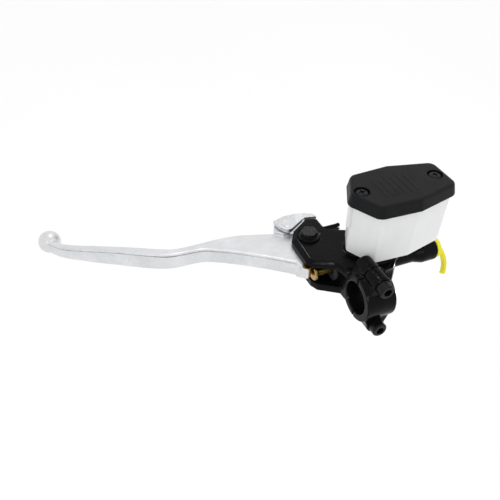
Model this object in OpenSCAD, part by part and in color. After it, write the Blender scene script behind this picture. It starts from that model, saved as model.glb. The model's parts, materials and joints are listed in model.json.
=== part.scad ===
// Brake master cylinder for a 22 mm handlebar, with its lever.
// Origin: centre of the handlebar clamp bore. +X runs along the bar towards the middle
// of the handlebar, +Y points forward and +Z up. The lever reaches out to -X.

/* [Handlebar clamp] */
// Diameter of the handlebar that the clamp grips
bar_d = 22.2; // [22.0:0.1:22.4]
// Width of the clamp along the bar
clamp_w = 20.5; // [19:0.5:23]
// Wall of the clamp ring
clamp_wall = 4.8; // [4:0.1:6]
// Gap between the casting and the clamp cap
clamp_split = 0.7; // [0.6:0.1:1.6]
// Distance of each clamp screw from the bar's axis
clamp_screw_z = 16.6; // [16:0.1:18]
// Diameter of the bosses that the clamp screws pass through
clamp_boss_d = 12.4; // [11:0.1:13]

/* [Cylinder] */
// Bore of the cylinder, half an inch
bore_d = 12.7; // [11:0.1:14]
// Outside diameter of the barrel
barrel_d = 21; // [19:0.5:23]
// Distance of the cylinder's axis in front of the bar's axis
axis_y = 31; // [30:0.5:32]

/* [Lever] */
// Pivot of the lever, left of the clamp's middle
pivot_x = -17; // [-18:0.5:-16]
// Pivot of the lever, in front of the bar's axis
pivot_y = 54; // [53:0.5:55]
// Diameter of the pivot bolt
pivot_d = 6; // [5:0.5:7]
// Thickness of the lever between the ears
lever_t = 12; // [11:0.2:12.4]
// Diameter of the ball at the lever's tip
ball_d = 15.6; // [14:0.2:17]

/* [Ears] */
// Gap between the upper and the lower ear
ear_gap = 13; // [12.8:0.1:14]
// Thickness of each ear
ear_t = 5.5; // [4.5:0.1:6.5]

/* [Reservoir] */
// Height of the reservoir's floor above the bar's axis
res_z0 = 15.5; // [15:0.5:17]
// Height of the reservoir's rim
res_z1 = 54; // [50:0.5:56]
// Wall of the reservoir
res_wall = 2.2; // [1.8:0.1:3]
// Line that the reservoir and its cover are symmetric about
res_y = 28; // [27:0.5:29]
// Height of the cover's skirt and top together
cover_h = 8.2; // [8:0.1:9]
// Height of the cover's top above the reservoir's rim
cover_rise = 6.3; // [6:0.1:7]

/* [Outlet] */
// End of the outlet boss along the bar
outlet_x = 68; // [66:0.5:74]
// Outside diameter of the outlet boss
outlet_boss_d = 16.4; // [15:0.2:18]
// Wall diameter of the outlet thread, for an M10 x 1 banjo bolt
outlet_thread_d = 9.2; // [9.0:0.1:9.4]

/* [Hidden] */
$fn = 48;

// clearances: a running shaft, a thread drawn as a plain cylinder, and two separate bodies
run_gap = 0.05;
thread_gap = 0.05;
body_gap = 0.3;

ring_r = bar_d/2 + clamp_wall;
half_w = clamp_w/2;
ear_z0 = ear_gap/2;
ear_z1 = ear_gap/2 + ear_t;
bore_r = bore_d/2;
barrel_r = barrel_d/2;
pocket_x = -half_w;           // wall that the cylinder's bore opens from
bore_end = 29.5;              // blind end of the bore
barrel_end = 32;
pivot = [pivot_x, pivot_y];
bolt_head_z = ear_z1 + 4.6;
washer_t = 1.0;

// ---------------------------------------------------------------- outlines

// Points of a line of corners with each corner rounded to radius r by n + 1 points.
function unit(v) = v / norm(v);
function corner_arc(a, b, c, r, n) =
    let (u = unit(a - b), v = unit(c - b), half = acos(u * v) / 2,
         cut = r / tan(half), middle = b + unit(u + v) * r / sin(half),
         p = b + u * cut - middle, q = b + v * cut - middle,
         start = atan2(p[1], p[0]), turn = atan2(q[1], q[0]) - start,
         sweep = turn > 180 ? turn - 360 : turn < -180 ? turn + 360 : turn)
    [for (i = [0:n]) middle + r * [cos(start + sweep * i / n), sin(start + sweep * i / n)]];
function rounded(pts, r, n = 4) =
    let (m = len(pts))
    [for (i = [0:m - 1]) each corner_arc(pts[(i + m - 1) % m], pts[i], pts[(i + 1) % m], r, n)];

// Outline moved inwards by d; the corners run counter-clockwise.
function inset_corner(a, b, c, d) =
    let (u = unit(b - a), v = unit(c - b), nu = [-u[1], u[0]], nv = [-v[1], v[0]])
    b + (nu + nv) * d / (1 + nu * nv);
function inset(pts, d) =
    let (m = len(pts))
    [for (i = [0:m - 1]) inset_corner(pts[(i + m - 1) % m], pts[i], pts[(i + 1) % m], d)];

// Seven-sided outline of the reservoir's cover, symmetric about res_y.
cover_outline = [[-4.7, res_y], [5.2, res_y - 18.9], [32.5, res_y - 20.2], [62.6, res_y - 13],
                 [62.6, res_y + 13], [32.5, res_y + 20.2], [5.2, res_y + 18.9]];
skirt_outline = inset(cover_outline, -1.9);
res_mid = [28, res_y];
cover_screw_x = [2.4, 55.6];

// Upper ear and the deck behind it, each at its foot and at its bevelled top face.
ear_foot = [[-29.4, 32.5], [-26.6, 29.2], [-13.4, 22.2], [-2, 22], [-2, 70.5], [-10, 73.5],
            [-23, 65.3], [-28.8, 56]];
ear_face = [[-26.4, 33.4], [-25, 30.6], [-12.6, 23.5], [-3, 23.4], [-3.2, 69.6], [-10, 72.4],
            [-21.8, 64.2], [-25.6, 55.4]];
deck_foot = [[-13.4, 22.2], [-10.2, 13], [20, 11], [33.5, 18], [34, 41], [-2, 58.5]];
deck_face = [[-12.4, 23.2], [-9, 14.8], [18.6, 12.8], [32, 19.2], [33, 40], [-3, 57]];
lower_foot = [[-25.2, 31.5], [-22.9, 26.2], [-10.5, 17.6], [12, 14], [26, 20], [26, 42], [6, 48],
              [-2.5, 56], [-3.5, 66.5], [-14, 68.5], [-25, 62.5], [-27.6, 54], [-25.4, 42]];

// ---------------------------------------------------------------- placing and small shapes

module along_x(x) { translate([x, 0, 0]) rotate([0, 90, 0]) children(); }
module on_axis(x) { translate([x, axis_y, 0]) rotate([0, 90, 0]) children(); }
module on_outlet(x) { translate([x, outlet_y, outlet_z]) rotate([0, 90, 0]) children(); }
module slab(pts, z0, z1) { translate([0, 0, z0]) linear_extrude(z1 - z0) polygon(pts); }
module at_clamp_screws(y) {
    for (side = [-1, 1]) translate([0, y, side * clamp_screw_z]) rotate([-90, 0, 0]) children();
}
module hex_prism(flats, h) { cylinder(h = h, d = flats / cos(30), $fn = 6); }

// Wire of radius r along a list of points, as a tube of s sides.
function wire_ring(p, t, r, s) =
    let (side = unit(cross(t, abs(t[0]) < 0.9 ? [1, 0, 0] : [0, 1, 0])), up = cross(t, side))
    [for (k = [0:s - 1]) p + r * (cos(360 * k / s) * side + sin(360 * k / s) * up)];
module wire(path, r, s = 8) {
    m = len(path);
    rings = [for (i = [0:m - 1])
        each wire_ring(path[i], unit(path[min(i + 1, m - 1)] - path[max(i - 1, 0)]), r, s)];
    sides = [for (i = [0:m - 2], k = [0:s - 1])
        [i * s + k, (i + 1) * s + k, (i + 1) * s + (k + 1) % s, i * s + (k + 1) % s]];
    polyhedron(rings, concat(sides, [[for (k = [0:s - 1]) k]], [[for (k = [s - 1:-1:0]) (m - 1) * s + k]]),
               convexity = 10);
}

// ---------------------------------------------------------------- casting

outlet_y = 28;
outlet_z = -4;
tube_r = 6.1;                 // tube between the barrel and the outlet boss
tube_x = 24;
boss_x = outlet_x - 11;       // where the outlet boss has its full diameter
boss_chamfer = 0.8;
mouth = 3;                    // depth of the plain mouth in front of the thread
thread_len = 12;
drill_x = 31;                 // start of the drilling from the bore to the outlet
spigot_x = 8;                 // reservoir's spigot and the well below it
spigot_r = 5.6;
well_r = 7.4;
pillar_x = 40;                // second foot of the reservoir
deck_z = res_z0 - 0.5;

// Ring and bosses that both halves of the clamp are cut from.
module clamp_blank() {
    along_x(-half_w) cylinder(h = clamp_w, r = ring_r, $fn = 64);
    for (side = [-1, 1]) {
        translate([0, -12, side * clamp_screw_z]) rotate([-90, 0, 0])
            cylinder(h = 24, d = clamp_boss_d);
        translate([0, 12, 0]) rotate([90, 0, 0]) linear_extrude(24)
            polygon([[-half_w + 0.4, side * 8], [half_w - 0.4, side * 8],
                     [clamp_boss_d/2, side * clamp_screw_z], [-clamp_boss_d/2, side * clamp_screw_z]]);
    }
}

module clamp_bore() {
    along_x(-half_w - 1) cylinder(h = clamp_w + 2, d = bar_d, $fn = 64);
}

// Plate at the upper ear's height whose rim slopes up to a smaller top face.
module bevelled(foot, face) {
    slab(foot, ear_z0, ear_z1 - 2.5);
    hull() {
        slab(foot, ear_z1 - 2.6, ear_z1 - 2.5);
        slab(face, ear_z1 - 0.1, ear_z1);
    }
}

module cast_blank() {
    // ears and deck
    bevelled(ear_foot, ear_face);
    bevelled(deck_foot, deck_face);
    slab(lower_foot, -ear_z1, -ear_z0);
    // wall round the mouth of the bore, and web beside the pivot
    slab([[pocket_x, 12], [4, 12], [4, 46], [-4.6, 46], [pocket_x, 43.5]], -ear_z1, ear_z1 - 1);
    slab([[-4.8, 44], [4, 44], [-2.6, 57], [-2.6, 66], [-4.8, 66]], -ear_z1, ear_z1 - 1);
    // barrel, outlet tube and outlet boss
    on_axis(pocket_x) cylinder(h = barrel_end - pocket_x - 1.5, r = barrel_r);
    on_axis(barrel_end - 1.5) cylinder(h = 1.5, r1 = barrel_r, r2 = barrel_r - 1.5);
    on_outlet(tube_x) cylinder(h = boss_x - tube_x - 5, r = tube_r);
    on_outlet(boss_x - 7) cylinder(h = 7, r1 = tube_r, r2 = outlet_boss_d/2);
    on_outlet(boss_x) cylinder(h = outlet_x - boss_x - boss_chamfer, d = outlet_boss_d);
    on_outlet(outlet_x - boss_chamfer)
        cylinder(h = boss_chamfer, r1 = outlet_boss_d/2, r2 = outlet_boss_d/2 - boss_chamfer);
    // seat of the reservoir's spigot and the pillar under its other end
    translate([spigot_x, axis_y, 0]) cylinder(h = deck_z, r = well_r + 2.4);
    translate([pillar_x, outlet_y, outlet_z]) cylinder(h = res_z0 - outlet_z, r = 4.6);
    // arm to the handlebar clamp
    slab([[pocket_x, 24], [pocket_x, 2], [half_w, 2], [19, 5], [barrel_end, 19],
          [barrel_end, 30], [pocket_x, 30]], -ear_z1 + 0.5, ear_z1 - 1.5);
    clamp_blank();
    // catch that the parking lock's nose drops behind
    slab([[-3, 60], [6, 60], [5.6, 58.2], [7.8, 56.6], [8.4, 55.6], [4.3, 53.4], [0, 52], [-3, 54]],
         ear_z1 - 3.4, ear_z1 - 1.2);
    translate([-3, 59.2, ear_z1 - 1.2]) rotate([0, 90, 0]) cylinder(h = 11.2, r = 1.35);
    translate([8.2, 59.2, ear_z1 - 1.2]) sphere(r = 1.65, $fn = 24);
}

module master_body() {
    color([0.07, 0.07, 0.075])
    difference() {
        cast_blank();
        // the cap's half of the clamp, and the bar
        translate([-half_w - 1, clamp_split/2 - 40, -40]) cube([clamp_w + 2, 40, 80]);
        clamp_bore();
        at_clamp_screws(0) cylinder(h = 13, r = 3 + thread_gap);
        // way for the bar beside the clamp, and for the reservoir above the clamp's boss
        along_x(half_w) cylinder(h = 30, d = bar_d + 2, $fn = 64);
        slab(rounded(cover_outline, 4), res_z0, res_z1);
        // cylinder bore, mouth, snap ring groove and outlet
        on_axis(pocket_x - 1) cylinder(h = bore_end - pocket_x + 1, r = bore_r);
        on_axis(pocket_x - 0.1) cylinder(h = 1.0, r1 = bore_r + 0.9, r2 = bore_r);
        on_axis(snap_x) cylinder(h = washer_t + 0.1, r = bore_r + 0.8);
        translate([bore_end - 0.5, axis_y - 1, outlet_z]) rotate([0, 90, 0]) cylinder(h = 4, r = 1.4);
        on_outlet(drill_x) cylinder(h = outlet_x - drill_x - 5, r = 1.6);
        on_outlet(outlet_x - mouth - thread_len) cylinder(h = thread_len, d = outlet_thread_d);
        on_outlet(outlet_x - mouth) cylinder(h = mouth + 1, d = outlet_thread_d + 1.2);
        // reservoir well, supply port and compensating port
        translate([spigot_x, axis_y, deck_z - 6]) cylinder(h = 8, r = well_r);
        translate([supply_x, axis_y, 0]) cylinder(h = deck_z, r = 1.8);
        translate([compensate_x, axis_y, 0]) cylinder(h = deck_z, r = 0.6);
        translate([pillar_x, outlet_y, 6]) cylinder(h = 12, r = 2 + thread_gap);
        // lever pivot
        translate([pivot_x, pivot_y, ear_z0 - 1]) cylinder(h = ear_t + 3, d = pivot_d + 2 * run_gap);
        translate([pivot_x, pivot_y, -ear_z1 - 1]) cylinder(h = ear_t + 2, d = pivot_d + 2 * run_gap);
        translate([pivot_x, pivot_y, ear_z1 - 0.6]) cylinder(h = 2, r = 8);
    }
}

module clamp_cap() {
    color([0.07, 0.07, 0.075])
    difference() {
        clamp_blank();
        translate([-half_w - 1, -clamp_split/2, -40]) cube([clamp_w + 2, 40, 80]);
        clamp_bore();
        at_clamp_screws(-13) cylinder(h = 14, r = 3.3);
    }
}

// Two M6 socket head screws whose heads face the rider.
module clamp_screws() {
    color([0.1, 0.1, 0.11])
    at_clamp_screws(-18)
    difference() {
        union() {
            cylinder(h = 0.8, r1 = 4.2, r2 = 5);
            translate([0, 0, 0.8]) cylinder(h = 5.2, r = 5);
            translate([0, 0, 6]) cylinder(h = 22.5, r = 3);
        }
        translate([0, 0, -0.1]) hex_prism(5, 3.6);
    }
}

// ---------------------------------------------------------------- reservoir

res_outline = inset(cover_outline, 0.5);
res_foot_scale = 0.96;
taper_mid = [16, 28];         // point that the reservoir narrows towards
baffle_z = res_z0 + res_wall;

module tapered(pts, z0, z1, k) {
    translate([taper_mid[0], taper_mid[1], z0])
        linear_extrude(z1 - z0, scale = 1 / k)
            polygon([for (p = pts) (p - taper_mid) * k]);
}

// length of the mould seam that shows below the cover
seam_len = 16;

module reservoir() {
    color([0.9, 0.9, 0.88])
    difference() {
        union() {
            difference() {
                tapered(rounded(res_outline, 3.5), res_z0, res_z1, res_foot_scale);
                tapered(rounded(inset(res_outline, res_wall), 2), res_z0 + res_wall, res_z1 + 0.01,
                        res_foot_scale);
            }
            // mould seam below the cover, on the lever's side
            translate([-5.3, res_y - 1.3, skirt_z - 0.5 - seam_len]) cube([3, 2.6, seam_len]);
            for (x = cover_screw_x) {
                end = x < res_mid[0] ? -2 : 2;
                translate([x, res_y, res_z1 - 15]) cylinder(h = 15, r = 3.4);
                translate([x + end, res_y - 1.5, res_z1 - 15]) translate([-2, 0, 0]) cube([4, 3, 15]);
            }
            translate([spigot_x, axis_y, deck_z - 5]) cylinder(h = 6, r = spigot_r);
            translate([pillar_x, res_y, res_z0 + 1]) cylinder(h = 3.2, r = 4.4);
        }
        for (x = cover_screw_x) translate([x, res_y, res_z1 - 12]) cylinder(h = 13, r = 2 + thread_gap);
        translate([spigot_x, axis_y, deck_z - 6]) cylinder(h = 12, r = spigot_r - 1.6);
        translate([pillar_x, res_y, res_z0 - 1]) cylinder(h = 8, r = 2.2);
    }
}

// Rubber grommet between the spigot and the casting.
module reservoir_seal() {
    color([0.08, 0.08, 0.08])
    translate([spigot_x, axis_y, 0]) difference() {
        union() {
            translate([0, 0, deck_z - 5.5]) cylinder(h = 5.5, r = well_r - 0.05);
            translate([0, 0, deck_z]) cylinder(h = res_z0 - deck_z, r = well_r + 1.6);
        }
        translate([0, 0, deck_z - 7]) cylinder(h = 9, r = spigot_r + 0.05);
    }
}

module phillips_cross(depth, span, z) {
    for (a = [0, 90]) rotate(a) translate([-span/2, -0.45, z - depth]) cube([span, 0.9, depth + 1]);
}

module reservoir_screw() {
    color([0.65, 0.65, 0.67])
    translate([pillar_x, res_y, 0]) difference() {
        union() {
            translate([0, 0, res_z0 + 4.2]) cylinder(h = 2.4, r = 3.8);
            translate([0, 0, 8]) cylinder(h = res_z0 - 3.7, r = 2);
        }
        phillips_cross(1.4, 4, res_z0 + 6.6);
    }
}

// Slotted plate over the ports that keeps fluid from spurting up.
module port_baffle() {
    color([0.75, 0.75, 0.77])
    translate([0, 0, baffle_z]) difference() {
        union() {
            translate([4.8, axis_y - 5, 2.2]) cube([9.7, 10, 0.8]);
            for (y = [axis_y - 5, axis_y + 4.2]) translate([4.8, y, 0]) cube([9.7, 0.8, 2.3]);
        }
        for (x = [6.2, 9, 11.8]) translate([x, axis_y - 3, 1.5]) cube([1.2, 6, 3]);
    }
}

// Rubber diaphragm: a flange on the rim with a bellows that hangs into the reservoir.
flange_t = 1.5;
bellows_outline = inset(cover_outline, 11.5);
module diaphragm() {
    color([0.09, 0.09, 0.09])
    difference() {
        union() {
            slab(rounded(res_outline, 3.5), res_z1, res_z1 + flange_t);
            slab(rounded(bellows_outline, 3), res_z1 - 10, res_z1 + 0.5);
            slab(rounded(inset(bellows_outline, -0.8), 4), res_z1 - 4.5, res_z1 - 2.5);
        }
        slab(rounded(inset(bellows_outline, 1.5), 2), res_z1 - 8.5, res_z1 + flange_t + 1);
        for (x = cover_screw_x) translate([x, res_y, res_z1 - 1]) cylinder(h = 4, r = 2.3);
    }
}

// Cover with a skirt over the reservoir's rim and two screw recesses.
skirt_z = res_z1 + cover_rise - cover_h;
cover_top = res_z1 + cover_rise;
module cover() {
    color([0.11, 0.11, 0.115])
    difference() {
        union() {
            difference() {
                union() {
                    translate([res_mid[0], res_mid[1], skirt_z])
                        linear_extrude(cover_h - 1.8, scale = 0.957)
                            polygon([for (p = rounded(skirt_outline, 5)) p - res_mid]);
                    translate([res_mid[0], res_mid[1], cover_top - 1.81])
                        linear_extrude(1.81, scale = 0.965)
                            polygon([for (p = rounded(cover_outline, 4)) p - res_mid]);
                }
                slab(rounded(inset(cover_outline, 0.3), 3.5), skirt_z - 1, res_z1 + flange_t);
                slab(rounded(inset(cover_outline, 7.5), 3), skirt_z, cover_top - 2.6);
            }
            for (x = cover_screw_x) translate([x, res_y, res_z1 + flange_t])
                cylinder(h = cover_rise - flange_t - 2.3, r = 5.6);
            for (k = [0:5]) translate([14 + 4.4 * k, res_y - 11, cover_top - 0.5])
                cube([1.4, 22 - 3 * (k % 2), 0.75]);
        }
        for (x = cover_screw_x) translate([x, res_y, 0]) {
            translate([0, 0, cover_top - 2]) cylinder(h = 3, r = 5.1);
            translate([0, 0, res_z1]) cylinder(h = 8, r = 2.3);
        }
    }
}

module cover_screws() {
    color([0.08, 0.08, 0.085])
    for (x = cover_screw_x) translate([x, res_y, 0]) difference() {
        union() {
            translate([0, 0, cover_top - 2]) cylinder(h = 1.2, r = 3.9);
            translate([0, 0, cover_top - 0.8]) cylinder(h = 0.7, r1 = 3.9, r2 = 2.6);
            translate([0, 0, res_z1 - 11]) cylinder(h = cover_top - res_z1 + 9.5, r = 2);
        }
        phillips_cross(1.5, 4.4, cover_top);
    }
}

// ---------------------------------------------------------------- pivot

// where the head came to rest when it was tightened
head_turn = -25;

module pivot_bolt() {
    color([0.2, 0.2, 0.21])
    translate([pivot_x, pivot_y, 0]) {
        translate([0, 0, ear_z1 - 0.6]) cylinder(h = 1.2, r = 7);
        translate([0, 0, ear_z1 + 0.6]) intersection() {
            rotate([0, 0, head_turn]) hex_prism(10, 4);
            cylinder(h = 4, r1 = 6.6, r2 = 5.4);
        }
        translate([0, 0, -ear_z1 - 6.5]) cylinder(h = 2 * ear_z1 + 6, d = pivot_d);
    }
}

module pivot_nut() {
    color([0.6, 0.6, 0.62])
    translate([pivot_x, pivot_y, -ear_z1 - 5]) difference() {
        hex_prism(10, 5);
        translate([0, 0, -1]) cylinder(h = 7, r = pivot_d/2 + thread_gap);
    }
}

// ---------------------------------------------------------------- inside the bore

snap_x = pocket_x + 1.4;
stop_x = snap_x + washer_t;
land_x = stop_x + washer_t + body_gap;     // back of the piston's rear land
supply_x = land_x + 10.6;
compensate_x = land_x + 19.2;
disc_x = -25.1;                            // face that the lever pushes on
disc_r = 5;
stem_r = 3.1;
land_r = bore_r - run_gap;

module snap_ring() {
    color([0.55, 0.55, 0.57])
    on_axis(snap_x + 0.05) difference() {
        cylinder(h = washer_t, r = bore_r + 0.7);
        translate([0, 0, -1]) cylinder(h = 3, r = bore_r - 1.4);
        translate([-1.6, -10, -1]) cube([3.2, 10, 3]);
    }
}

module stop_washer() {
    color([0.6, 0.6, 0.62])
    on_axis(stop_x + 0.1) difference() {
        cylinder(h = washer_t - 0.1, r = bore_r - 0.05);
        translate([0, 0, -1]) cylinder(h = 3, r = stem_r + body_gap);
    }
}

// Rubber dust seal pressed into the mouth of the bore.
module dust_seal() {
    color([0.07, 0.07, 0.07])
    on_axis(pocket_x - 1.6) difference() {
        union() {
            cylinder(h = 1.6, r = bore_r + 2);
            translate([0, 0, 1.5]) cylinder(h = 1.3, r = bore_r - 0.05);
        }
        translate([0, 0, -1]) cylinder(h = 5, r = stem_r + body_gap);
        translate([0, 0, -0.01]) cylinder(h = 1.4, r1 = stem_r + 1.8, r2 = stem_r + body_gap);
    }
}

// Zinc plated piston: pushed disc, stem, two lands with a waist between them, and a nose.
piston_end = land_x + 17.4;
module piston() {
    color([0.72, 0.55, 0.22])
    on_axis(0) difference() {
        union() {
            translate([0, 0, disc_x]) cylinder(h = 0.5, r1 = disc_r - 0.5, r2 = disc_r);
            translate([0, 0, disc_x + 0.5]) cylinder(h = 1.3, r = disc_r);
            translate([0, 0, disc_x + 1.8]) cylinder(h = 2.2, r1 = 4.2, r2 = stem_r);
            translate([0, 0, disc_x + 1]) cylinder(h = land_x - disc_x, r = stem_r);
            translate([0, 0, land_x]) cylinder(h = 2.8, r = land_r);
            translate([0, 0, land_x + 2]) cylinder(h = 4, r = 3.8);
            translate([0, 0, land_x + 5.4]) cylinder(h = 1.2, r = land_r);
            translate([0, 0, land_x + 6]) cylinder(h = 8, r = 3.4);
            translate([0, 0, land_x + 12.6]) cylinder(h = 2, r = land_r);
            translate([0, 0, land_x + 14]) cylinder(h = piston_end - land_x - 14, r = 2.4);
        }
        for (a = [0:60:300]) rotate(a) translate([4.9, 0, land_x + 12]) cylinder(h = 3, r = 0.5);
    }
}

// Rubber cups, each with a lip that flares forward to the bore's wall.
module cup(x, h, hole) {
    on_axis(x) difference() {
        union() {
            cylinder(h = h * 0.55, r1 = bore_r - 0.6, r2 = bore_r - 0.35);
            translate([0, 0, h * 0.5]) cylinder(h = h * 0.5, r1 = bore_r - 0.35, r2 = bore_r - run_gap);
        }
        translate([0, 0, -1]) cylinder(h = h + 2, r = hole);
        translate([0, 0, h * 0.45]) cylinder(h = h, r1 = hole + 0.6, r2 = bore_r - 0.8);
    }
}
module secondary_cup() { color([0.07, 0.07, 0.07]) cup(land_x + 2.9, 2.4, 3.85); }
module primary_cup() { color([0.07, 0.07, 0.07]) cup(land_x + 14.7, 2.9, 2.45); }

spring_x = piston_end + 1.3;
module spring_seat() {
    color([0.6, 0.6, 0.62])
    on_axis(piston_end + 0.05) {
        cylinder(h = 1.2, r = 3.9);
        translate([0, 0, 1]) cylinder(h = 2.2, r = 2.6);
    }
}

module return_spring() {
    turns = 6;
    wire_r = 0.45;
    coil_r = 3.7;
    length = bore_end - spring_x - 2 * wire_r - 0.2;
    color([0.7, 0.7, 0.72])
    wire([for (i = [0:turns * 16]) let (a = 360 * i / 16)
          [spring_x + wire_r + 0.1 + length * i / (turns * 16), axis_y + coil_r * cos(a), coil_r * sin(a)]],
         wire_r, 6);
}

// ---------------------------------------------------------------- lever

pin_at = [-28.2, 32.6];       // push pin in the lever's short arm
pin_r = 2.8;
pin_z0 = -2;
lock_at = [-25.4, 70.4];      // pivot of the parking lock on the lever
pad_z = lever_t/2 + 2.6;      // top of the pad that the parking lock turns on
lock_z0 = pad_z + body_gap;
lock_z1 = ear_z1;

lever_root = concat(
    [[-58, 80.6], [-62, 59.8], [-47.5, 49.8], [-34.4, 39.4], [-32.2, 36.8], [-31.9, 33.4],
     [-30.8, 31], [-27.6, 30.2], [-27.6, 38.5], [-20.5, 43.6]],
    [for (a = [-72:18:72]) pivot + 10 * [cos(a), sin(a)]],
    [[-17, 65], [-35, 73.3], [-48, 77.4]]);
lock_pad = [[-34.6, 73.2], [-34.2, 70], [-30, 66.8], [-25.6, 66.6], [-14, 74.6], [-14.8, 78.2],
            [-24, 79.4], [-32, 78]];

// Blade stations from the root to the tip: back edge, front edge, half height.
blade = [[[-56, 80], [-60, 58.4], 6], [[-68, 81.8], [-69, 64.6], 6], [[-78, 82], [-77.5, 69.5], 6],
         [[-88, 81.9], [-86.5, 73.6], 6], [[-99.5, 82], [-101, 74.8], 6.3], [[-107, 83.4], [-109, 75.8], 6.4],
         [[-114, 86.4], [-117, 78.8], 6.5], [[-127.5, 93.2], [-131, 86.4], 6.6],
         [[-138.5, 98.8], [-141.6, 92.8], 6.4], [[-149.5, 104.5], [-152.4, 98.6], 6],
         [[-160.5, 110.2], [-163.2, 104.8], 5.4], [[-170, 115.6], [-172.8, 110.8], 5],
         [[-175, 119.8], [-178.8, 116.4], 4.9], [[-177.6, 125], [-183, 122.6], 4.8]];
blade_corner = 2.4;
ball_at = [-180.4, 128.2];

// Rounded oblong section with n + 1 points in each corner.
function station_ring(b, n) =
    let (mid = (b[0] + b[1]) / 2, side = unit(b[0] - b[1]), w = norm(b[0] - b[1]) / 2 - blade_corner,
         h = b[2] - blade_corner)
    [for (q = [0:3], k = [0:n]) let (a = 90 * (q + k / n),
          u = w * (q == 0 || q == 3 ? 1 : -1) + blade_corner * cos(a),
          v = h * (q < 2 ? 1 : -1) + blade_corner * sin(a))
        [mid[0] + side[0] * u, mid[1] + side[1] * u, v]];
module lever_blade(n = 4) {
    s = 4 * (n + 1);
    m = len(blade);
    polyhedron([for (b = blade) each station_ring(b, n)],
        concat([for (i = [0:m - 2], k = [0:s - 1])
                   [i * s + k, i * s + (k + 1) % s, (i + 1) * s + (k + 1) % s, (i + 1) * s + k]],
               [[for (k = [s - 1:-1:0]) k]], [[for (k = [0:s - 1]) (m - 1) * s + k]]),
        convexity = 4);
}

// Half shell on the rider's side of the push pin.
module pin_cradle() {
    intersection() {
        translate([pin_at[0], pin_at[1], pin_z0]) cylinder(h = lever_t/2 - pin_z0, r = pin_r + 1.2);
        translate([-40, 20, -10]) cube([11.2, 20, 20]);
    }
}

module lever() {
    color([0.82, 0.83, 0.84])
    difference() {
        union() {
            slab(lever_root, -lever_t/2, lever_t/2);
            slab(lock_pad, 0, pad_z);
            lever_blade();
            pin_cradle();
            translate([ball_at[0], ball_at[1], 0]) sphere(d = ball_d, $fn = 40);
        }
        translate([pivot_x, pivot_y, -10]) cylinder(h = 20, r = 4.5);
        translate([pin_at[0], pin_at[1], -10]) cylinder(h = 20, r = pin_r + 0.02);
        translate([lock_at[0], lock_at[1], -10]) cylinder(h = 25, r = 2.02);
        translate([lock_at[0], lock_at[1], -10]) cylinder(h = 11, r = 5.6);
        // underside of the short arm, sloping up to its end
        translate([-40, 37, -lever_t/2]) rotate([-29, 0, 0]) translate([0, -20, -10]) cube([20, 20, 10]);
    }
}

module pivot_bush() {
    color([0.72, 0.55, 0.22])
    translate([pivot_x, pivot_y, -lever_t/2]) difference() {
        cylinder(h = lever_t, r = 4.48);
        translate([0, 0, -1]) cylinder(h = lever_t + 2, r = pivot_d/2 + run_gap);
    }
}

// Hardened pin that rolls on the piston's disc.
module push_pin() {
    color([0.72, 0.55, 0.22])
    translate([pin_at[0], pin_at[1], pin_z0]) cylinder(h = lever_t/2 - pin_z0, r = pin_r);
}

module lock_pin() {
    color([0.6, 0.6, 0.62])
    translate([lock_at[0], lock_at[1], 0]) {
        translate([0, 0, -2]) cylinder(h = lock_z1 + 2, r = 2);
        translate([0, 0, -3.2]) cylinder(h = 1.3, r = 3.2);
    }
}

lock_outline = [[-32.6, 78.4], [-31.4, 71.4], [-29.4, 67.6], [-26.6, 66], [-24, 65.9], [-10.6, 74.3],
                [-1.8, 72.2], [-2.8, 76.2], [-8, 79], [-16, 81], [-24, 81]];
module parking_lock() {
    color([0.8, 0.81, 0.82])
    difference() {
        slab(lock_outline, lock_z0, lock_z1);
        translate([lock_at[0], lock_at[1], 0]) cylinder(h = 30, r = 2 + run_gap);
    }
}

// Torsion spring under the pad that holds the lock in.
module lock_spring() {
    turns = 3;
    color([0.7, 0.7, 0.72])
    wire(concat([[lock_at[0] - 9, lock_at[1] + 5, -3.2]],
         [for (i = [0:turns * 16]) let (a = 120 + 360 * i / 16)
             [lock_at[0] + 3 * cos(a), lock_at[1] + 3 * sin(a), -3 + 3.4 * i / (turns * 16)]]),
         0.35, 6);
}

// ---------------------------------------------------------------- outlet plug

// Transport plug: stem in the port's mouth, a flange on its face and a curved pull tab.
tab_lean = 35;                // angle of the tab from straight down, towards the rider
tab_w = 4;
tab_t = 2.2;
tab_bend = 17.2;              // radius that the tab is bent to
tab_mid = [10, -9.3];         // centre of that bend, as distance from the axis and along it
module outlet_plug() {
    color([0.95, 0.9, 0.05])
    on_outlet(outlet_x) {
        translate([0, 0, 0.2 - mouth]) cylinder(h = mouth + 0.4, d = outlet_thread_d + 0.6);
        translate([0, 0, body_gap]) cylinder(h = 3, r = outlet_boss_d/2 - 0.9);
        rotate(-tab_lean) translate([0, tab_w/2, 0]) rotate([90, 0, 0]) linear_extrude(tab_w)
            polygon([for (a = [-42:6:36]) tab_mid + (tab_bend + tab_t/2) * [sin(a), cos(a)],
                     for (a = [36:-6:-42]) tab_mid + (tab_bend - tab_t/2) * [sin(a), cos(a)]]);
    }
}

master_body();
clamp_cap();
clamp_screws();
reservoir();
reservoir_seal();
reservoir_screw();
port_baffle();
diaphragm();
cover();
cover_screws();
pivot_bolt();
pivot_nut();
stop_washer();
snap_ring();
dust_seal();
piston();
secondary_cup();
primary_cup();
spring_seat();
return_spring();
lever();
pivot_bush();
push_pin();
lock_pin();
parking_lock();
lock_spring();
outlet_plug();
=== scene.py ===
# %% [markdown]
# # A brake master cylinder and its lever
# The part clamps to a handlebar. Its lever pushes a piston, and a milky tank on top feeds the bore.
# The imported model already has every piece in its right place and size, so it is loaded first as a
# fixed frame. What follows gives each piece its finish, and swaps the plain castings and mouldings
# for softer, more detailed ones that sit in the same place.

# %% Load the frame
import json
import math

import bmesh
import bpy
from mathutils import Matrix, Vector
from mathutils.kdtree import KDTree

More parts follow.
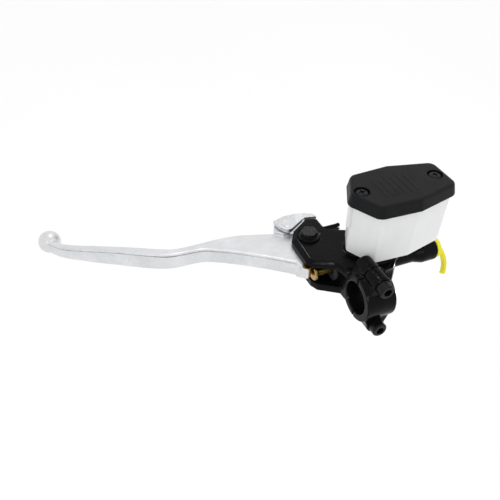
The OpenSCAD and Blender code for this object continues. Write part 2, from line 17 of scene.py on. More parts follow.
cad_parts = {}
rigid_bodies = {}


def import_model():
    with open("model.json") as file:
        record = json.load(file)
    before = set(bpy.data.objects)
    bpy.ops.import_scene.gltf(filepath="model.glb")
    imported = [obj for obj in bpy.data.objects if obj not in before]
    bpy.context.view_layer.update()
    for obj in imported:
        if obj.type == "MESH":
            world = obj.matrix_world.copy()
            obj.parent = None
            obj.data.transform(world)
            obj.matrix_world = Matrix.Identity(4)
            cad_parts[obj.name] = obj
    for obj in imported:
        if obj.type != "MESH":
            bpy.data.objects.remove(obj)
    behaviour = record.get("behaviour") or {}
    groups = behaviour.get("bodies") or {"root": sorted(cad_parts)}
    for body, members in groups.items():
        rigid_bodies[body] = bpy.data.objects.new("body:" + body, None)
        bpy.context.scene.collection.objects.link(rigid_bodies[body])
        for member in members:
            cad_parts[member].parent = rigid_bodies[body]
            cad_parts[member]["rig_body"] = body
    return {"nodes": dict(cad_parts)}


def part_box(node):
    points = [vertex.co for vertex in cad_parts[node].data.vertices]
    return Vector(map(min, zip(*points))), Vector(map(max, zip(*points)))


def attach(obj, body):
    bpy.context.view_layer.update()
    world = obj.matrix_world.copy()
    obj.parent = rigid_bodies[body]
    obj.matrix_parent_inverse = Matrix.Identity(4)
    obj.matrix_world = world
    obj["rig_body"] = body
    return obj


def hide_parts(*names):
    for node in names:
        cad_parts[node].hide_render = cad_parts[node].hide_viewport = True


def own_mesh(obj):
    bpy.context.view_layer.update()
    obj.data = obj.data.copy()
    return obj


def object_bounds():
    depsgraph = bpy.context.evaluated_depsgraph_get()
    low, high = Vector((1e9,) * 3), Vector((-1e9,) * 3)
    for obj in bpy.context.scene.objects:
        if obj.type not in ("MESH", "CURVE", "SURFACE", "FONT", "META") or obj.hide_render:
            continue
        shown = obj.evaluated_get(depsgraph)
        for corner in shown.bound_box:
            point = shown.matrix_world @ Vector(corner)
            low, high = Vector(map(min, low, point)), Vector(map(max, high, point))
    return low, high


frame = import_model()
cad = frame["nodes"]
cad_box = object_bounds()
MM = 0.001

# %% [markdown]
# The camera comes early, because every later choice is judged through it. It looks down from the
# rider's side and a little from the left. Its three axes are worked out from two angles and a small
# roll, and it stands back from a point near the middle of the part, so the framing is easy to change.

# %% Camera
AZIMUTH, ELEVATION, ROLL = -22.9, 39.9, 0.8
DISTANCE = 0.4
LOOK_AT = (-0.0637, 0.0457, 0.0206)
FOCAL_LENGTH = 45.1


def camera_axes(azimuth, elevation, roll):
    a, e, r = (math.radians(angle) for angle in (azimuth, elevation, roll))
    back = Vector((math.sin(a) * math.cos(e), -math.cos(a) * math.cos(e), math.sin(e)))
    level = Vector((math.cos(a), math.sin(a), 0))
    rise = back.cross(level)
    return level * math.cos(r) + rise * math.sin(r), rise * math.cos(r) - level * math.sin(r), back


right, up, back = camera_axes(AZIMUTH, ELEVATION, ROLL)
camera = bpy.data.objects.new("camera", bpy.data.cameras.new("camera"))
bpy.context.scene.collection.objects.link(camera)
camera.data.lens = FOCAL_LENGTH
camera.data.clip_start = 0.01
turned = Matrix((right, up, back)).transposed().to_4x4()
camera.matrix_world = Matrix.Translation(Vector(LOOK_AT) + back * DISTANCE) @ turned
bpy.context.scene.camera = camera
print("the camera stands at", [round(v, 3) for v in camera.location])

# %% [markdown]
# Shader sums read best as ordinary sums. `Field` wraps one output of a node, so `1 - mask` or
# `grain * 0.2 + 0.4` adds the Math nodes by itself. Colours go through Vector Math, because a Math node
# would turn them grey. `Finish` holds one material: its fixed numbers go straight on the shader's
# sockets, and `add` makes any other node from its type, its settings and its inputs.


# %% Fields and finishes
class Field:
    """One socket that a node puts out, ready to be written in a sum."""

    def __init__(self, finish, socket):
        self.finish, self.socket = finish, socket

    def sum_with(self, operation, other, swapped=False):
        pair = (other, self) if swapped else (self, other)
        colour = any(isinstance(p, Field) and p.socket.type in ("RGBA", "VECTOR") for p in pair)
        kind = "ShaderNodeVectorMath" if colour else "ShaderNodeMath"
        return self.finish.add(kind, {"operation": operation}, dict(enumerate(pair)))

    def __add__(self, other):
        return self.sum_with("ADD", other)

    def __radd__(self, other):
        return self.sum_with("ADD", other, True)

    def __sub__(self, other):
        return self.sum_with("SUBTRACT", other)

    def __rsub__(self, other):
        return self.sum_with("SUBTRACT", other, True)

    def __mul__(self, other):
        return self.sum_with("MULTIPLY", other)

    def __rmul__(self, other):
        return self.sum_with("MULTIPLY", other, True)


class Finish:
    """A material built up from a Principled shader."""

    def __init__(self, name, fixed):
        self.material = bpy.data.materials.new(name)
        self.material.use_nodes = True
        self.tree = self.material.node_tree
        self.shader = self.tree.nodes["Principled BSDF"]
        for socket, value in fixed.items():
            self.shader.inputs[socket].default_value = value
        self.place = self.add("ShaderNodeTexCoord", out="Object")

    def put(self, socket, value):
        if isinstance(value, Field):
            self.tree.links.new(value.socket, socket)
        elif socket.type in ("RGBA", "VECTOR") and isinstance(value, (int, float)):
            socket.default_value = [value] * 3 + [1] * (len(socket.default_value) - 3)
        else:
            socket.default_value = value

    def add(self, kind, settings=(), inputs=(), out=0):
        node = self.tree.nodes.new(kind)
        for setting, value in dict(settings).items():
            setattr(node, setting, value)
        for name, value in dict(inputs).items():
            self.put(node.inputs[name], value)
        return Field(self, node.outputs[out])

    def noise(self, size, detail=2.0, stretch=(1, 1, 1), roughness=0.5):
        """Soft blotches about `size` metres across, drawn out along an axis by a small stretch."""
        where = self.place if stretch == (1, 1, 1) else self.place * tuple(stretch)
        return self.add("ShaderNodeTexNoise", {"noise_dimensions": "3D"},
                        {"Vector": where, "Scale": 1 / size, "Detail": detail, "Roughness": roughness})

    def spread(self, value, low, high):
        """The value's middle part stretched to run from 0 to 1."""
        return self.add("ShaderNodeMapRange", {}, {"Value": value, "From Min": low, "From Max": high})

    def mix(self, factor, first, second):
        """One colour where factor is 0 and another where it is 1. The first may be a field."""
        first = first if isinstance(first, Field) else (*first, 1)
        return self.add("ShaderNodeMix", {"data_type": "RGBA"}, {0: factor, 6: first, 7: (*second, 1)}, 2)

    def drive(self, **sockets):
        for name, value in sockets.items():
            self.put(self.shader.inputs[name.replace("_", " ")], value)

    def relief(self, height, depth):
        """Bumps of that depth in metres where height runs from 0 to 1."""
        bump = {"Height": height, "Distance": depth, "Strength": 1.0}
        self.drive(Normal=self.add("ShaderNodeBump", {}, bump))


print("shader helpers ready")

# %% [markdown]
# The body and the clamp's cap are die cast and then painted gloss black. Paint over a casting is never
# quite flat: it has a fine orange peel and soft waves, and the gloss changes a little from place to
# place. The base stays very dark so that only the highlights show the shape.


# %% Painted castings
def painted_casting():
    paint = Finish("gloss_black_paint", {"Specular IOR Level": 0.07})
    peel, waves, patches = paint.noise(0.0011, 3), paint.noise(0.005), paint.noise(0.018, 3)
    paint.drive(Base_Color=paint.mix(patches, (0.0015, 0.0015, 0.002), (0.005, 0.005, 0.006)),
                Roughness=paint.spread(patches, 0.3, 0.7) * 0.08 + 0.12 + peel * 0.05)
    paint.relief(peel * 0.45 + waves, 0.00016)
    return paint.material


BLACK_PAINT = painted_casting()
print("made", BLACK_PAINT.name)

# %% [markdown]
# The lever is bare aluminium that was tumbled after casting, so it is bright, slightly grainy and
# carries fine scratches along its length. A mesh attribute named "parting", made later with the lever,
# says where shade is painted in: along the parting crease, and in the neck behind the ball, where it
# also stands for dark reflections. The lock plate is sheet with a fine, speckled, matt surface.


# %% Bare metals
def tumbled_aluminium():
    metal = Finish("tumbled_aluminium", {"Metallic": 1.0})
    grain, dents, cloud = metal.noise(0.0005, 2), metal.noise(0.0022, 3), metal.noise(0.012, 4)
    scratches = metal.noise(0.004, 4, stretch=(0.35, 3.2, 4.0), roughness=0.75)
    tone = metal.spread(grain * 0.45 + cloud * 0.3 + scratches * 0.25, 0.35, 0.65)
    bright = metal.mix(tone, (0.58, 0.59, 0.61), (0.83, 0.83, 0.84))
    # painted shade: the attribute pulls the colour down to near black in the crease and the ball's neck
    crease_shade = metal.add("ShaderNodeAttribute", {"attribute_name": "parting"}, out="Fac")
    painted_shade = metal.spread(crease_shade * (0.55 + dents), 0.2, 0.85)
    metal.drive(Base_Color=metal.mix(painted_shade, bright, (0.17, 0.17, 0.18)),
                Roughness=0.40 - tone * 0.14 + scratches * 0.05)
    metal.relief(grain * 0.35 + dents * 0.65 + scratches * 0.5, 0.00009)
    return metal.material


def bright_sheet():
    metal = Finish("bright_sheet", {"Metallic": 1.0})
    cloud, grain = metal.noise(0.009, 3), metal.noise(0.0009, 3)
    speckle = metal.spread(cloud * 0.3 + grain * 0.7, 0.35, 0.65)
    metal.drive(Base_Color=metal.mix(speckle, (0.50, 0.51, 0.53), (0.86, 0.87, 0.88)),
                Roughness=0.36 + grain * 0.12 + cloud * 0.06)
    metal.relief(grain * 0.6 + cloud, 0.00008)
    return metal.material


ALUMINIUM, SHEET = tumbled_aluminium(), bright_sheet()
print("made", ALUMINIUM.name, "and", SHEET.name)

# %% [markdown]
# Fasteners and inner pieces share a few plated metals. Each is one recipe with its own two tones: a
# blackened steel, a grey one painted as a lit top, a bright zinc, a gold passivated zinc and a drawn spring
# wire.


# %% Plated metals
def plated(name, dark, light, rough, metallic=1.0, blotch=0.003):
    metal = Finish(name, {"Metallic": metallic, "Specular IOR Level": 0.25})
    patches, fine = metal.noise(blotch, 4), metal.noise(0.0004, 2)
    metal.drive(Base_Color=metal.mix(metal.spread(patches, 0.3, 0.7), dark, light),
                Roughness=rough + patches * 0.15 + fine * 0.08)
    metal.relief(fine * 0.5 + patches * 0.5, 0.00002)
    return metal.material


BLACK_STEEL = plated("blackened_steel", (0.004, 0.004, 0.0045), (0.014, 0.014, 0.015), 0.22, 0.5)
GREY_STEEL = plated("lit_top_grey_steel", (0.012, 0.012, 0.0115), (0.060, 0.059, 0.056), 0.18, 0.8, 0.0012)
ZINC = plated("bright_zinc", (0.55, 0.56, 0.58), (0.78, 0.79, 0.80), 0.22)
GOLD_ZINC = plated("gold_passivated_zinc", (0.22, 0.12, 0.025), (0.52, 0.36, 0.13), 0.18, 1.0, 0.003)
SPRING_WIRE = plated("drawn_spring_wire", (0.42, 0.42, 0.43), (0.62, 0.62, 0.63), 0.28)
print("made five plated metals")

# %% [markdown]
# The tank is blow moulded nylon. It lets some light in, so it gets a little subsurface light and
# faint upright streaks from the mould. The cover is a satin black plastic with a fine spark-eroded
# grain. The diaphragm and seals are dull rubber, and the transport plug is soft bright yellow plastic.


# %% Plastics and rubber
def moulded(name, dark, light, rough, grain_size, depth, fixed=(), streaks=0.0):
    plastic = Finish(name, dict(fixed))
    grain, cloud = plastic.noise(grain_size, 2), plastic.noise(0.012, 3)
    upright = plastic.noise(0.004, 3, stretch=(1, 1, 0.08))
    tone = plastic.spread(cloud * (1 - streaks) + upright * streaks, 0.3, 0.7)
    plastic.drive(Base_Color=plastic.mix(tone, dark, light), Roughness=rough + grain * 0.1 + cloud * 0.06)
    plastic.relief(grain + upright * streaks * 2, depth)
    return plastic.material


COVER_PLASTIC = moulded("satin_black_plastic", (0.004, 0.0042, 0.005), (0.008, 0.0084, 0.0095), 0.38,
                        0.00045, 0.00004, {"Specular IOR Level": 0.12})
NYLON = moulded("milky_nylon", (0.74, 0.75, 0.755), (0.79, 0.79, 0.785), 0.3, 0.0012, 0.00006,
                {"Subsurface Weight": 0.45, "Subsurface Radius": (1.0, 1.0, 0.9), "Subsurface Scale": 0.003},
                streaks=0.45)
RUBBER = moulded("dull_rubber", (0.015, 0.015, 0.016), (0.03, 0.03, 0.031), 0.62, 0.0006, 0.00003)
YELLOW = moulded("yellow_plug_plastic", (0.76, 0.69, 0.004), (0.86, 0.80, 0.02), 0.34, 0.0008, 0.00003,
                 {"Subsurface Weight": 0.2, "Subsurface Radius": (1.0, 0.9, 0.1), "Subsurface Scale": 0.002})
print("made three plastics and a rubber")

# %% [markdown]
# Several pieces start as a copy of the imported piece. Two helpers carry most of the work: `finished`
# runs a modifier and keeps its result, and `dress` gives a mesh its finish and its body.


# %% Mesh helpers
BODY_OF = {name: node["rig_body"] for name, node in cad.items()}


def object_from(name, mesh):
    piece = bpy.data.objects.new(name, mesh)
    bpy.context.scene.collection.objects.link(piece)
    return piece


def copy_of(node, name):
    mesh = cad[node].data.copy()
    mesh.materials.clear()
    return object_from(name, mesh)


def finished(piece, kind, **settings):
    modifier = piece.modifiers.new(kind.lower(), kind)
    for setting, value in settings.items():
        setattr(modifier, setting, value)
    graph = bpy.context.evaluated_depsgraph_get()
    mesh = bpy.data.meshes.new_from_object(piece.evaluated_get(graph), depsgraph=graph)
    old, piece.data = piece.data, mesh
    piece.modifiers.clear()
    bpy.data.meshes.remove(old)
    return piece


def shade(piece, angle=40):
    piece.data.polygons.foreach_set("use_smooth", [True] * len(piece.data.polygons))
    piece.data.set_sharp_from_angle(angle=math.radians(angle))


def dress(piece, material, slot, *nodes):
    piece.data.materials.clear()
    piece.data.materials.append(material)
    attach(piece, BODY_OF[nodes[0]])
    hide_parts(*nodes)
    print(piece.name, "has", len(piece.data.polygons), "faces and stands for", ", ".join(nodes))
    return piece


# %% [markdown]
# A real casting has no sharp edge: metal flows round every corner and fills every inner one. To get
# that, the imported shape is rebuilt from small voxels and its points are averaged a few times. Edges
# then round off and inner corners fill, by an amount that follows from voxel size and rounds.


# %% Soft castings
def softened(piece, voxel, rounds, keep):
    finished(piece, "REMESH", mode="VOXEL", voxel_size=voxel * MM, use_smooth_shade=True)
    finished(piece, "SMOOTH", factor=0.5, iterations=rounds)
    if keep < 1:
        finished(piece, "DECIMATE", ratio=keep)
    shade(piece, 180)
    return piece


body = softened(copy_of("master_body", "body_casting"), 0.45, 7, 0.5)
dress(body, BLACK_PAINT, "black_cast", "master_body")
cap = softened(copy_of("clamp_cap", "clamp_cap_casting"), 0.4, 7, 0.6)
dress(cap, BLACK_PAINT, "black_cast", "clamp_cap")

# %% [markdown]
# The lever is cast too, with a flat top that rolls over into the front face at a thin parting line.
# A section of that shape is carried through stations from the root to the tip, with the ball added
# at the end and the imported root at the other. The same voxel rebuild welds them into one skin.

# %% Lever stations
TOP_ROLL = 1.35
PARTING_DEPTH = 0.95
PARTING_DROP = TOP_ROLL + 0.35
# each station: back edge (x, y), front edge (x, y), half thickness, in mm
STATIONS = [
    ((-30, 71), (-33, 38), 6.0),
    ((-36, 73.6), (-36.5, 41.3), 6.0),
    ((-48, 77.4), (-49, 50.9), 6.0),
    ((-57, 80.2), (-61, 59.2), 6.0),
    ((-68, 81.9), (-69, 64.6), 6.0),
    ((-78, 82.2), (-77.5, 69.5), 6.0),
    ((-88, 81.9), (-86.5, 73.6), 6.1),
    ((-99.5, 82), (-101, 74.8), 6.3),
    ((-107, 83.4), (-109, 75.8), 6.4),
    ((-114, 86.4), (-117, 78.8), 6.5),
    ((-127.5, 93.2), (-131, 86.4), 6.6),
    ((-138.5, 98.8), (-141.6, 92.8), 6.4),
    ((-149.5, 104.5), (-152.4, 98.6), 6.0),
    ((-160.5, 110.2), (-163.2, 104.8), 5.4),
    ((-170, 115.6), (-172.8, 110.8), 5.0),
    ((-175, 119.8), (-178.8, 116.4), 4.9),
    ((-177.6, 125), (-183, 122.6), 4.8),
]


def between(a, b, c, d, t):
    """A smooth step from b to c that also heeds a and d."""
    return 0.5 * (2 * b + (c - a) * t + (2 * a - 5 * b + 4 * c - d) * t * t + (3 * b - a - 3 * c + d) * t ** 3)


def refined(stations, steps):
    rows = [(*back, *front, half) for back, front, half in stations]
    rows = [rows[0]] + rows + [rows[-1]]
    fine = [[between(*column, k / steps) for column in zip(*rows[i:i + 4])]
            for i in range(len(rows) - 3) for k in range(steps)]
    return fine + [list(rows[-1])]


print(len(refined(STATIONS, 4)), "stations along the lever")

# %% [markdown]
# The section is drawn once, as distances across the lever and heights. Its three other corners are
# plain quarter circles, so one short loop draws them.


# %% Lever section
def lever_section(back_x, back_y, front_x, front_y, half):
    """Points round the section: flat top, roll, parting line, front face, underside and back edge."""
    back_edge, front_edge = Vector((back_x, back_y, 0)), Vector((front_x, front_y, 0))
    across = (front_edge - back_edge).normalized()
    width = (front_edge - back_edge).length
    points = [(width - 1.55 + 1.15 * math.sin(a), half - TOP_ROLL * (1 - math.cos(a)))
              for a in (math.radians(15 * k) for k in range(7))]
    points += [(width - PARTING_DEPTH, half - PARTING_DROP), (width - 0.1, half - TOP_ROLL - 0.8),
               (width, half - TOP_ROLL - 1.5), (width + 0.05, -0.3 * half)]
    corner = 2.2
    centres = [(width - corner, corner - half), (corner, corner - half), (corner, half - corner)]
    for turns, (u, v) in enumerate(centres):
        for a in (math.radians(90 * turns + 22.5 * k) for k in range(5)):
            points.append((u + corner * math.cos(a), v - corner * math.sin(a)))
    return [back_edge + across * u + Vector((0, 0, v)) for u, v in points]


def loft(name, rings):
    """A closed skin through rings that all have the same number of points."""
    count = len(rings[0])
    verts = [Vector(p) * MM for ring in rings for p in ring]
    faces = [(i * count + k, i * count + (k + 1) % count,
              (i + 1) * count + (k + 1) % count, (i + 1) * count + k)
             for i in range(len(rings) - 1) for k in range(count)]
    faces += [tuple(range(count))[::-1], tuple(range((len(rings) - 1) * count, len(rings) * count))]
    mesh = bpy.data.meshes.new(name)
    mesh.from_pydata(verts, [], faces)
    return object_from(name, mesh)


def outward(piece):
    """Turns all faces to look outwards."""
    work = bmesh.new()
    work.from_mesh(piece.data)
    bmesh.ops.recalc_face_normals(work, faces=work.faces)
    work.to_mesh(piece.data)
    work.free()
    return piece


blade = outward(loft("lever_blade", [lever_section(*row) for row in refined(STATIONS, 4)]))
print("the blade has", len(blade.data.polygons), "faces")

# %% [markdown]
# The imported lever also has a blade, which is plainer. Only its root is wanted here, so everything left
# of a line across the root is sliced off a copy before the two are joined and rebuilt.


# %% Weld the lever
def sliced(piece, point, normal):
    """Keeps the side of a plane that its normal points to, and closes the cut."""
    work = bmesh.new()
    work.from_mesh(piece.data)
    bmesh.ops.remove_doubles(work, verts=work.verts, dist=1e-6)
    cut = bmesh.ops.bisect_plane(work, geom=work.verts[:] + work.edges[:] + work.faces[:], dist=1e-7,
                                 plane_co=Vector(point) * MM, plane_no=normal, clear_inner=True)
    edges = [e for e in cut["geom_cut"] if isinstance(e, bmesh.types.BMEdge)]
    bmesh.ops.holes_fill(work, edges=edges)
    bmesh.ops.recalc_face_normals(work, faces=work.faces)
    work.to_mesh(piece.data)
    work.free()
    return piece


def ball(centre, radius):
    work = bmesh.new()
    bmesh.ops.create_icosphere(work, subdivisions=4, radius=radius * MM)
    for vert in work.verts:
        vert.co += Vector(centre) * MM
    mesh = bpy.data.meshes.new("ball")
    work.to_mesh(mesh)
    work.free()
    return object_from("ball", mesh)


def joined(pieces, name):
    work = bmesh.new()
    for piece in pieces:
        work.from_mesh(piece.data)
    mesh = bpy.data.meshes.new(name)
    work.to_mesh(mesh)
    work.free()
    for piece in pieces:
        bpy.data.objects.remove(piece)
    return object_from(name, mesh)


def slab(name, corners, z0, z1):
    return outward(loft(name, [[(x, y, z) for x, y in corners] for z in (z0, z1)]))


root = sliced(copy_of("lever", "lever_root"), (-33, 0, 0), (1, 0, 0))
tip = ball((-180.4, 128.2, 0), 7.7)
LOCK_PAD = [(-34.6, 73.2), (-34.2, 70), (-30, 66.8), (-29, 68), (-29, 79), (-32, 78)]
pad = slab("lock_pad", LOCK_PAD, 0, 8.6)
lever = softened(joined([blade, root, tip, pad], "lever_casting"), 0.34, 2, 0.5)
print("the welded lever has", len(lever.data.polygons), "faces")

# %% [markdown]
# Shade is painted along the parting line, most of all in the lever's bend, and shade with dark
# reflections in the neck behind the ball. Each point of the mesh stores how near it is to those places.

# %% Where shade is painted
LINE_REACH = 0.75
BEND_X, BEND_REACH = -106, 24
NECK, NECK_REACH = (-175.5, 124.5, 4.5), 5.5


def mark_parting(piece, stations):
    """Stores how much painted shade each point takes, from 0 upwards, for the finish to darken."""
    line = KDTree(len(stations))
    for i, (back_x, back_y, front_x, front_y, half) in enumerate(stations):
        across = Vector((back_x, back_y, 0)) - Vector((front_x, front_y, 0))
        inwards = across.normalized() * PARTING_DEPTH * 0.8
        line.insert((Vector((front_x, front_y, half - PARTING_DROP)) + inwards) * MM, i)
    line.balance()
    near = piece.data.attributes.new("parting", "FLOAT", "POINT")
    neck = Vector(NECK) * MM
    values = []
    for vertex in piece.data.vertices:
        # the painted shade along the crease is strongest in the bend
        bend_weight = 0.85 + 0.5 * math.exp(-((vertex.co.x / MM - BEND_X) / BEND_REACH) ** 2)
        trace = max(0.0, 1 - line.find(vertex.co)[2] / (LINE_REACH * MM)) * bend_weight
        # painted shade and dark reflection in the neck behind the ball
        neck_shade = 0.5 * max(0.0, 1 - (vertex.co - neck).length / (NECK_REACH * MM))
        values.append(max(trace, neck_shade))
    near.data.foreach_set("value", values)


mark_parting(lever, refined(STATIONS, 40))
dress(lever, ALUMINIUM, "bare_aluminium", "lever")

# %% [markdown]
# The cover is a seven-sided moulding with round corners and a skirt. Rings of the same outline, each
# moved in or out by a small step and lifted, make its side and its rolled top edge. Working from one
# outline keeps every corner in line from the skirt to the top.

# %% Cover outline
COVER_CORNERS = [(-4.7, 28), (5.2, 9.1), (32.5, 7.8), (62.6, 15), (62.6, 41), (32.5, 48.2), (5.2, 46.9)]
COVER_TOP = 60.3
SKIRT_Z = 52.1


def outline(corners, out, radius, steps=8):
    """The corners moved outwards by `out` and rounded to `radius`, as points counter-clockwise."""
    points, count = [Vector(c) for c in corners], len(corners)
    moved = []
    for i, here in enumerate(points):
        before, after = (here - points[i - 1]).normalized(), (points[(i + 1) % count] - here).normalized()
        n1, n2 = Vector((before.y, -before.x)), Vector((after.y, -after.x))
        moved.append(here + (n1 + n2) * out / (1 + n1.dot(n2)))
    ring = []
    for i, here in enumerate(moved):
        a, b = (moved[i - 1] - here).normalized(), (moved[(i + 1) % count] - here).normalized()
        half = math.acos(max(-1, min(1, a.dot(b)))) / 2
        centre = here + (a + b).normalized() * radius / math.sin(half)
        start = here + a * radius / math.tan(half) - centre
        turn = math.pi - 2 * half
        for k in range(steps + 1):
            angle = turn * k / steps
            ring.append(centre + Vector((start.x * math.cos(angle) - start.y * math.sin(angle),
                                         start.x * math.sin(angle) + start.y * math.cos(angle))))
    return ring


def raised(ring, z):
    return [(p.x, p.y, z) for p in ring]


# each step up the side: how far out of the outline, and at what height
SIDE = [(-0.35, 55.4), (-0.35, 52.3), (-0.1, SKIRT_Z), (1.5, SKIRT_Z), (1.85, 52.25), (1.95, 52.7),
        (0.75, 58.3), (0.55, 59.0), (0.2, 59.6), (-0.4, 60.0), (-1.1, 60.2), (-2.0, COVER_TOP)]
cover = outward(loft("moulded_cover", [raised(outline(COVER_CORNERS, out, 5 + out), z) for out, z in SIDE]))
print("the cover's skin has", len(cover.data.polygons), "faces")

# %% [markdown]
# Two round recesses take the screw heads. Six low bars stand on the top, where such covers often have
# raised lettering.

# %% Screw recesses and bars
SCREWS_X, SCREWS_Y = (2.4, 55.6), 28
# each bar: x, and y from and to, in mm
BARS = [(14, 17.5, 38), (18.4, 17, 35.5), (22.8, 17, 39), (27.2, 17, 36), (31.6, 17, 39), (36, 17, 36)]


def stack(name, x, y, layers, sides):
    """A round piece about an upright axis, from layers of (radius, height)."""
    angles = [2 * math.pi * k / sides for k in range(sides)]
    rings = [[(x + r * math.cos(a), y + r * math.sin(a), z) for a in angles] for r, z in layers]
    return outward(loft(name, rings))


def pill(name, x, y0, y1, z0, z1, half):
    """A low bar with round ends that runs along Y."""
    def ring(shrink, z):
        r = half - shrink
        arc = [math.pi * k / 8 for k in range(9)]
        return ([(x + r * math.cos(a), y1 - half + r * math.sin(a), z) for a in arc]
                + [(x - r * math.cos(a), y0 + half - r * math.sin(a), z) for a in arc])
    return outward(loft(name, [ring(0, z0), ring(0, z1 - 0.12), ring(0.18, z1)]))


def combined(piece, tool, operation):
    finished(piece, "BOOLEAN", operation=operation, object=tool, solver="EXACT")
    bpy.data.objects.remove(tool)


for x in SCREWS_X:
    recess = [(5.1, COVER_TOP - 2), (5.1, COVER_TOP + 1)]
    screw_way = [(2.3, 50), (2.3, COVER_TOP + 1)]
    combined(cover, stack("recess", x, SCREWS_Y, recess, 64), "DIFFERENCE")
    combined(cover, stack("screw_way", x, SCREWS_Y, screw_way, 32), "DIFFERENCE")
for x, y0, y1 in BARS:
    combined(cover, pill("bar", x, y0, y1, COVER_TOP - 0.5, COVER_TOP + 0.16, 0.6), "UNION")
finished(cover, "BEVEL", width=0.2 * MM, segments=2, limit_method="ANGLE", angle_limit=math.radians(38))
shade(cover, 60)
finished(cover, "WEIGHTED_NORMAL", mode="FACE_AREA", weight=80, keep_sharp=True)
dress(cover, COVER_PLASTIC, "cover_plastic", "cover")

# %% [markdown]
# Machined and pressed pieces keep crisp shapes, but even they catch a thin highlight along each edge.
# `eased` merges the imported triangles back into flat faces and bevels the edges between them.


# %% Crisp pieces with eased edges
def eased(node, name, width):
    """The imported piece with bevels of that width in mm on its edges."""
    piece = copy_of(node, name)
    work = bmesh.new()
    work.from_mesh(piece.data)
    bmesh.ops.remove_doubles(work, verts=work.verts, dist=1e-6)
    bmesh.ops.dissolve_limit(work, angle_limit=math.radians(1), verts=work.verts, edges=work.edges)
    work.to_mesh(piece.data)
    work.free()
    finished(piece, "BEVEL", width=width * MM, segments=2, limit_method="ANGLE", angle_limit=math.radians(35))
    shade(piece, 50)
    return finished(piece, "WEIGHTED_NORMAL", mode="FACE_AREA", weight=80, keep_sharp=True)


EASED = [
    ("reservoir", "milky_tank", 0.7, NYLON, "reservoir_nylon"),
    ("parking_lock", "lock_plate", 0.35, SHEET, "bare_aluminium"),
    ("pivot_bolt", "pivot_bolt_head", 0.2, GREY_STEEL, "black_steel"),
    ("pivot_nut", "hexagon_nut", 0.3, ZINC, "zinc_steel"),
    ("clamp_screws", "socket_screws", 0.25, BLACK_STEEL, "black_steel"),
    ("cover_screws", "cross_screws", 0.12, BLACK_STEEL, "black_steel"),
    ("outlet_plug", "pull_plug", 0.45, YELLOW, "yellow_plastic"),
    ("piston", "pushed_piston", 0.12, GOLD_ZINC, "yellow_zinc"),
    ("push_pin", "rolling_pin", 0.3, GOLD_ZINC, "yellow_zinc"),
    ("dust_seal", "boot_seal", 0.25, RUBBER, "rubber"),
    ("lock_pin", "lock_rivet", 0.2, ALUMINIUM, "zinc_steel"),
]
crisp = {node: dress(eased(node, name, width), material, slot, node)
         for node, name, width, material, slot in EASED}

# %% [markdown]
# Two fasteners need one more touch. The pivot bolt's head is a lighter grey only where its faces look up,
# a painted highlight from the light above, so its sides and washer take a second, blacker material.
# The lock's rivet gets the low dome that riveting leaves.

# %% Bolt washer and rivet head
WASHER_TOP = 12.75
STEEP = 0.3
bolt = crisp["pivot_bolt"]
bolt.data.materials.append(BLACK_STEEL)
# painted highlight: faces looking up take the lighter grey as a lit top, steep sides and the washer the
# blacker steel
for face in bolt.data.polygons:
    face.material_index = int(face.center.z < WASHER_TOP * MM or abs(face.normal.z) < STEEP)

HEAD_RADIUS, HEAD_HEIGHT, HEAD_LIFT = 2.5, 0.5, 0.03
rivet_low, rivet_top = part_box("lock_pin")
middle = (rivet_low + rivet_top) / 2 / MM
climb = [math.pi / 2 * k / 6 for k in range(6)]
seat_z = rivet_top.z / MM + HEAD_LIFT
head = stack("rivet_head", middle.x, middle.y,
             [(HEAD_RADIUS * math.cos(a), seat_z + HEAD_HEIGHT * math.sin(a)) for a in climb], 40)
shade(head, 50)
head.data.materials.append(ALUMINIUM)
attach(head, BODY_OF["lock_pin"])
print("washer darkened and rivet head added at", [round(v, 1) for v in middle])

# %% [markdown]
# What is left sits in the bore, in or under the reservoir, under the cover or around the two pivots,
# mostly out of sight. Those pieces have the right shape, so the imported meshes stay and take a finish.

# %% Finish the pieces that stay
STAY = {
    "reservoir_seal": RUBBER, "reservoir_screw": ZINC, "port_baffle": ZINC, "diaphragm": RUBBER,
    "stop_washer": ZINC, "snap_ring": SPRING_WIRE, "secondary_cup": RUBBER, "primary_cup": RUBBER,
    "spring_seat": ZINC, "pivot_bush": GOLD_ZINC, "lock_spring": SPRING_WIRE,
}
for node, material in STAY.items():
    cad[node].data.materials.clear()
    cad[node].data.materials.append(material)
    cad[node].data.polygons.foreach_set("use_smooth", [True] * len(cad[node].data.polygons))
print(len(STAY), "packed pieces took a finish")

# %% [markdown]
# The return spring is pressed shorter as the piston comes in, and its far end stays against the bottom
# of the bore. Here the coil only takes its finish, smooth shading and a mesh of its own.

# %% Return spring
coil = dress(copy_of("return_spring", "coil_spring"), SPRING_WIRE, "spring_steel", "return_spring")
shade(coil, 60)
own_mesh(coil)

# %% [markdown]
# The set is a product table: a pale floor, an even white surround and three soft lamps. The part
# belongs on a handlebar, so it hangs well above the floor and throws no hard shadow. Three more small
# lamps are seen only as glints in the gloss paint, which would look dull in an even white room.


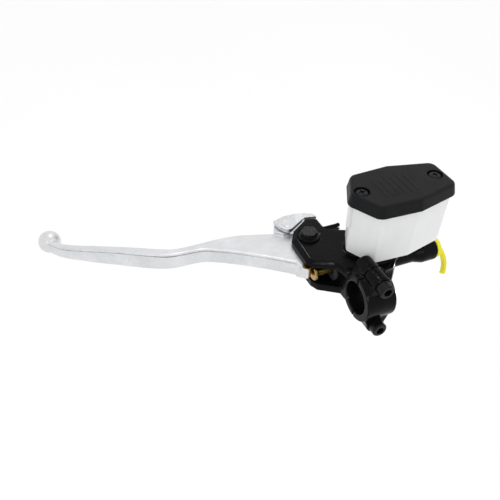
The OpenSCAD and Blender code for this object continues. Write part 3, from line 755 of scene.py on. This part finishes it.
# %% Floor and lights
def soft_lamp(name, place, aim, size, power, only=None):
    """A round lamp. With a collection in `only`, it is seen just as a glint on the pieces in it."""
    lamp = bpy.data.objects.new(name, bpy.data.lights.new(name, "AREA"))
    bpy.context.scene.collection.objects.link(lamp)
    lamp.data.shape, lamp.data.size, lamp.data.energy = "DISK", size, power
    lamp.location = place
    if only:
        lamp.visible_diffuse = False
        lamp.light_linking.receiver_collection = only
    lamp.rotation_euler = (Vector(place) - Vector(aim)).to_track_quat("Z", "Y").to_euler()


FLOOR_DROP, FLOOR_HALF = 0.25, 6
floor_z = cad_box[0][2] - FLOOR_DROP
floor_mesh = bpy.data.meshes.new("floor")
floor_corners = [(x * FLOOR_HALF, y * FLOOR_HALF, floor_z) for x, y in ((-1, -1), (1, -1), (1, 1), (-1, 1))]
floor_mesh.from_pydata(floor_corners, [], [(0, 1, 2, 3)])
floor = object_from("floor", floor_mesh)
pale = Finish("pale_floor", {"Roughness": 0.9})
pale.drive(Base_Color=pale.mix(pale.noise(0.4, 2), (0.95, 0.95, 0.95), (0.98, 0.98, 0.98)))
floor_mesh.materials.append(pale.material)

soft_lamp("overhead", (0.1, 0.35, 0.9), (-0.05, 0.05, 0), 0.12, 0.6)
soft_lamp("front_left", (-0.7, -0.7, 0.6), (-0.05, 0.05, 0), 0.08, 0.3)
soft_lamp("right_edge", (0.7, -0.25, 0.5), (0, 0.03, 0), 0.05, 0.25)
glossy = bpy.data.collections.new("glossy_paint")
glossy.objects.link(body)
glossy.objects.link(cap)
soft_lamp("boss_glint", (0.5, 0.09, -0.2), (0.02, -0.01, 0.01), 0.04, 6.0, glossy)
soft_lamp("ring_glint", (-0.15, -0.6, 0.35), (0.0, -0.01, 0.0), 0.03, 8.0, glossy)
soft_lamp("deck_glint", (-0.05, 0.5, 0.55), (0.0, 0.02, 0.0), 0.04, 2.0, glossy)
world = bpy.context.scene.world or bpy.data.worlds.new("studio")
bpy.context.scene.world = world
world.use_nodes = True
world.node_tree.nodes["Background"].inputs["Color"].default_value = (1, 1, 1, 1)
world.node_tree.nodes["Background"].inputs["Strength"].default_value = 1.0
bpy.context.scene.view_settings.view_transform = "Standard"
print("the floor is", round(-floor_z, 3), "m below the handlebar")
